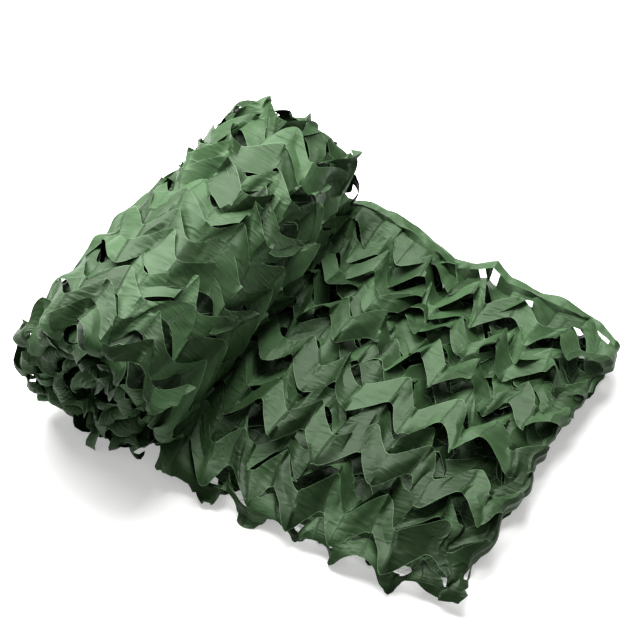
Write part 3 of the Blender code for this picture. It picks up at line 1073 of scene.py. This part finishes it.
def wound_turn(seed):
    """The spiral's turn_at(u), which goes on inwards from the skin's start, and its length."""
    lengths, angles = [0.0], [0.0]
    while angles[-1] < TURNS * 2 * math.pi:
        radius = MEAN_RADIUS - turn_depth(angles[-1]) * 0.95
        lengths.append(lengths[-1] + radius * WINDING_STEP)
        angles.append(angles[-1] + WINDING_STEP)

    def turn_at(u):
        after = min(bisect_right(lengths, u), len(lengths) - 1)
        share = (u - lengths[after - 1]) / (lengths[after] - lengths[after - 1])
        wound = lerp(angles[after - 1], angles[after], share)
        sway = 0.004 + 0.010 * ripple(7 * u, 0.5, seed)
        angle = SKIN_START - wound
        return angle, turn_depth(wound), sway + foot_inset(angle), sway
    return turn_at, lengths[-1]


def turn_mood(u, band):
    """The same all along: wild leaves, every second band raised."""
    return even_bands(band, TURN_BAND, gape=0.006, lean=0.35, wild=0.9, corner=0.007,
                      slide=0.010, front=0.003 * (-1.0) ** band, crumple=0.003)


TURN_WIDTH = 2 * RETURN + 2 * math.pi * TURN_RIM + ROLL_LENGTH - 2 * TURN_RIM
turn_pieces = [(inner_piece, (INNER_COLUMNS * UNDER_STEP, INNER_BANDS * INNER_PITCH))]
for name, seed, skip in (("near_turns", 31, TURN_WIDTH - TURN_BANDS * TURN_BAND),
                         ("far_turns", 37, 0.0)):
    turn_at, turn_length = wound_turn(seed)
    turn_cut = Cut(name, round(turn_length / COLUMN), TURN_BANDS, 6)
    turns = leaf_sheet(turn_cut, roll_lay(turn_at, TURN_RIM, skip), turn_mood)
    turn_pieces.append((as_object(name, turns), (turn_cut.columns * COLUMN, TURN_BANDS * BAND)))

# %% [markdown]
# ## Backing string
# The leaves are lashed to a wide string net, which shows through their gaps.  Curves would
# do, but the wireframe operator turns each edge of a wavy grid into a thin bar at once.

# %% Backing net
STRING, MESH = 0.0005, 0.030
NET_LENGTH, NET_WIDTH, NET_FROM = 0.52, 0.60, LYING_WIDTH - 0.62
NET_SEED = 51
SAG, SAG_CHANCE, STRING_WANDER = 0.015, 0.005, 0.012


def backing_net(name, length, width, seed):
    """String net under the top layer, wavering and sagging a little."""
    net = bmesh.new()
    bmesh.ops.create_grid(net, x_segments=round(length / MESH),
                          y_segments=round(width / MESH), size=0.5)
    bmesh.ops.bisect_edges(net, edges=net.edges, cuts=3)
    for vert in net.verts:
        u, across = (vert.co.x + 0.5) * length, (vert.co.y + 0.5) * width
        u, across = (u + STRING_WANDER * ripple(45 * u, 45 * across, seed),
                     across + STRING_WANDER * ripple(45 * u, 45 * across, seed + 1))
        point, _, outward = lay_lying(LYING_START + u, NET_FROM + across)
        vert.co = point - outward * (SAG + SAG_CHANCE * ripple(25 * u, 25 * across, seed + 2))
    bmesh.ops.wireframe(net, faces=net.faces, thickness=STRING, offset=0.0, use_replace=True,
                        use_boundary=True, use_even_offset=False)
    return as_object(name, net)


top_net = backing_net("lying_string", NET_LENGTH, NET_WIDTH, NET_SEED)

# %% [markdown]
# ## Helpers for finishes
# Colours are picked as sRGB hex codes, but Blender mixes light in linear values, so one
# function turns them.  A second one adds a node with its settings and links at once.

# %% Colour and node helpers
def colour(code):
    """Linear colour from an sRGB hex code."""
    parts = [int(code[start:start + 2], 16) / 255 for start in (1, 3, 5)]
    linear = [part / 12.92 if part <= 0.04045 else ((part + 0.055) / 1.055) ** 2.4
              for part in parts]
    return (*linear, 1.0)


def fill_sockets(tree, node, sockets):
    """Set a node's sockets to values, or link them from other nodes' sockets."""
    for key, value in sockets.items():
        if isinstance(value, bpy.types.NodeSocket):
            tree.links.new(value, node.inputs[key])
        else:
            node.inputs[key].default_value = value


def add_node(tree, kind, sockets, **settings):
    """A new shader node with its sockets and settings."""
    made = tree.nodes.new("ShaderNode" + kind)
    for key, value in settings.items():
        setattr(made, key, value)
    fill_sockets(tree, made, sockets)
    return made


def new_material(name):
    """A material with its node tree and its shader."""
    material = bpy.data.materials.new(name)
    material.use_nodes = True
    return material, material.node_tree, material.node_tree.nodes["Principled BSDF"]


def per_metre(repeat):
    """Whole repeats in a metre, as a pattern's scale, for a repeat in millimetres."""
    return round(1000 / repeat)


# %% [markdown]
# ## Coated polyester: colour
# The leaf cloth is plain-weave polyester, dyed and coated.  To the eye it is dark green
# with cloudy patches, no two leaves are quite the same shade, and the cut edges are paler,
# partly from their fraying and partly as a painted highlight where they catch the light.
# Painted shade from the moods darkens the leaves of the under layers, the inner turn and the
# ordered near side.
# Its weave, about 0.3 mm, is finer than a pixel of the render, so it isn't drawn.

# %% Colour of the coated polyester
coated_polyester, tree, shader = new_material("coated_polyester")
PATCH = 22.2            # mm across a cloudy patch
place = add_node(tree, "UVMap", {}, uv_map="flat_cloth").outputs["UV"]
tint = add_node(tree, "Attribute", {}, attribute_name="leaf_tint").outputs["Fac"]
edge = add_node(tree, "Attribute", {}, attribute_name="cut_edge").outputs["Fac"]
patch = add_node(tree, "TexNoise", {
    "Vector": place, "Scale": per_metre(PATCH), "Detail": 5.0, "Roughness": 0.6})
# Each leaf's chance tone, with the painted shade of its mood, moves its colour along the ramp.
leaf = add_node(tree, "Math", {0: tint, 1: 0.20, 2: 0.58}, operation="MULTIPLY_ADD")
blend = add_node(tree, "Math", {0: patch.outputs["Fac"], 1: 0.5, 2: leaf.outputs[0]},
                 operation="MULTIPLY_ADD")
ramp = add_node(tree, "ValToRGB", {"Fac": blend.outputs[0]})
dark, light = ramp.color_ramp.elements
dark.position, dark.color = 0.30, colour("#0D1A0A")
light.position, light.color = 1.10, colour("#375032")
ramp.color_ramp.elements.new(0.65).color = colour("#1D3117")
# Partly painted highlight: cut edges are mixed towards a pale green, for fraying and for the
# light they catch.
line = add_node(tree, "MapRange", {"Value": edge, "From Min": 0.86, "From Max": 0.97})
rim = add_node(tree, "Mix", {"Factor": line.outputs["Result"], 6: ramp.outputs["Color"],
                             7: colour("#64825D")}, data_type="RGBA")
print("colour nodes", len(tree.nodes))

# %% [markdown]
# ## Coated polyester: creases and gloss
# A coating makes cloth stiff, so folding leaves fine straight creases that catch the
# light.  Modelled, they would need millions of faces, so two crossing sets of ridges bump
# the surface, turned another way on each leaf.  The gloss is satin and a little green.

# %% Creases and gloss
CREASES = (
    # turn in radians, how far the tone and shade turn it further, seed, depth in metres
    (0.8, 0.9, 0.0, 0.0024), (-0.75, -0.6, 5.0, 0.0016),
)
CREASE_LONG, CREASE_WIDE = 29.4, 10.5       # mm
normal = None
for turn, spread, seed, depth in CREASES:
    way = add_node(tree, "Math", {0: tint, 1: spread, 2: turn}, operation="MULTIPLY_ADD")
    turned = add_node(tree, "CombineXYZ", {"Z": way.outputs[0]})
    strokes = add_node(tree, "Mapping", {
        "Vector": place, "Location": (seed, seed, 0.0), "Rotation": turned.outputs[0],
        "Scale": (per_metre(CREASE_LONG), per_metre(CREASE_WIDE), 1.0)})
    streak = add_node(tree, "TexNoise", {
        "Vector": strokes.outputs[0], "Scale": 1.0, "Detail": 3.0, "Distortion": 0.5},
        noise_type="RIDGED_MULTIFRACTAL")
    relief = {"Height": streak.outputs["Fac"], "Strength": 0.6, "Distance": depth}
    if normal:
        relief["Normal"] = normal
    normal = add_node(tree, "Bump", relief).outputs["Normal"]
fill_sockets(tree, shader, {
    "Base Color": rim.outputs[2], "Normal": normal, "Roughness": 0.50,
    "Specular IOR Level": 0.32, "Specular Tint": colour("#C2D6BD")})
print("coated polyester", len(tree.nodes), "nodes")

# %% [markdown]
# ## Dress the leaf cloth
# Each sheet rides the one body and stands for the imported cloth.  Its flat pattern's size,
# its length by its bands and border, is printed.

# %% Dress the leaf cloth
for piece, size in [(lying_leaves, (TOP_COLUMNS * COLUMN, TOP_BANDS * BAND + BOUND_EDGE)),
                    (under_leaves, (UNDER_COLUMNS * UNDER_STEP,
                                    UNDER_BANDS * UNDER_PITCH + BOUND_EDGE)),
                    (roll_skin, (SKIN_COLUMNS * COLUMN, SKIN_BANDS * BAND))] + turn_pieces:
    piece.data.materials.append(coated_polyester)
    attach(piece, "root")
    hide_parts("leaf_cloth")
    print(piece.name, "flat", [round(side, 3) for side in size])

# %% [markdown]
# ## Polyester string
# The net is twisted polyester string, too thin to show its twist.  All the eye gets is a
# dull green, a little paler than the leaves.

# %% Dress the string
string, tree, shader = new_material("polyester_string")
fill_sockets(tree, shader, {"Base Color": colour("#5B7357"), "Roughness": 0.7})
top_net.data.materials.append(string)
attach(top_net, "root")
print("lying_string wears", string.name)

# %% [markdown]
# ## Floor
# The netting lies on matt white paper.  It glows a little, so that it stays white in the
# shade and only the netting's own shadow shows on it.

# %% Floor
FLOOR_HALF = 6.0
floor_mesh = bpy.data.meshes.new("floor")
floor_shape = bmesh.new()
bmesh.ops.create_grid(floor_shape, x_segments=1, y_segments=1, size=FLOOR_HALF)
floor_shape.to_mesh(floor_mesh)
floor_shape.free()
floor = into_scene("floor", floor_mesh)
paper, tree, shader = new_material("white_paper")
fill_sockets(tree, shader, {"Base Color": colour("#E7E7E6"), "Roughness": 0.9,
                            "Emission Color": colour("#FFFFFE"), "Emission Strength": 0.35})
floor_mesh.materials.append(paper)
print("floor", 2 * FLOOR_HALF, "m wide")

# %% [markdown]
# ## Light
# A large soft light behind the netting and to its left draws the shadows forward, and a
# smaller one brings out the roll.  A dim white world fills the shade.

# %% Light
WORLD_STRENGTH = 0.33
AIM = Vector((0, 0, 0.05))
LIGHTS = (
    # name, azimuth, elevation, distance, size, watts
    ("key", 208.0, 55.0, 1.6, 1.4, 64.0),
    ("roll", 262.0, 42.0, 1.3, 0.7, 22.0),
)
world = scene.world = bpy.data.worlds.new("studio")
world.use_nodes = True
fill_sockets(world.node_tree, world.node_tree.nodes["Background"],
             {"Color": colour("#FFFFFF"), "Strength": WORLD_STRENGTH})
for name, azimuth, elevation, distance, size, power in LIGHTS:
    data = bpy.data.lights.new(name, "AREA")
    data.shape, data.size, data.energy = "DISK", size, power
    soft_light = into_scene(name, data)
    way = from_angles(math.radians(azimuth), math.radians(elevation))
    soft_light.location = AIM + way * distance
    soft_light.rotation_euler = way.to_track_quat("Z", "Y").to_euler()
    print(name, "light at", [round(value, 2) for value in soft_light.location])
scene.view_settings.view_transform = "Standard"
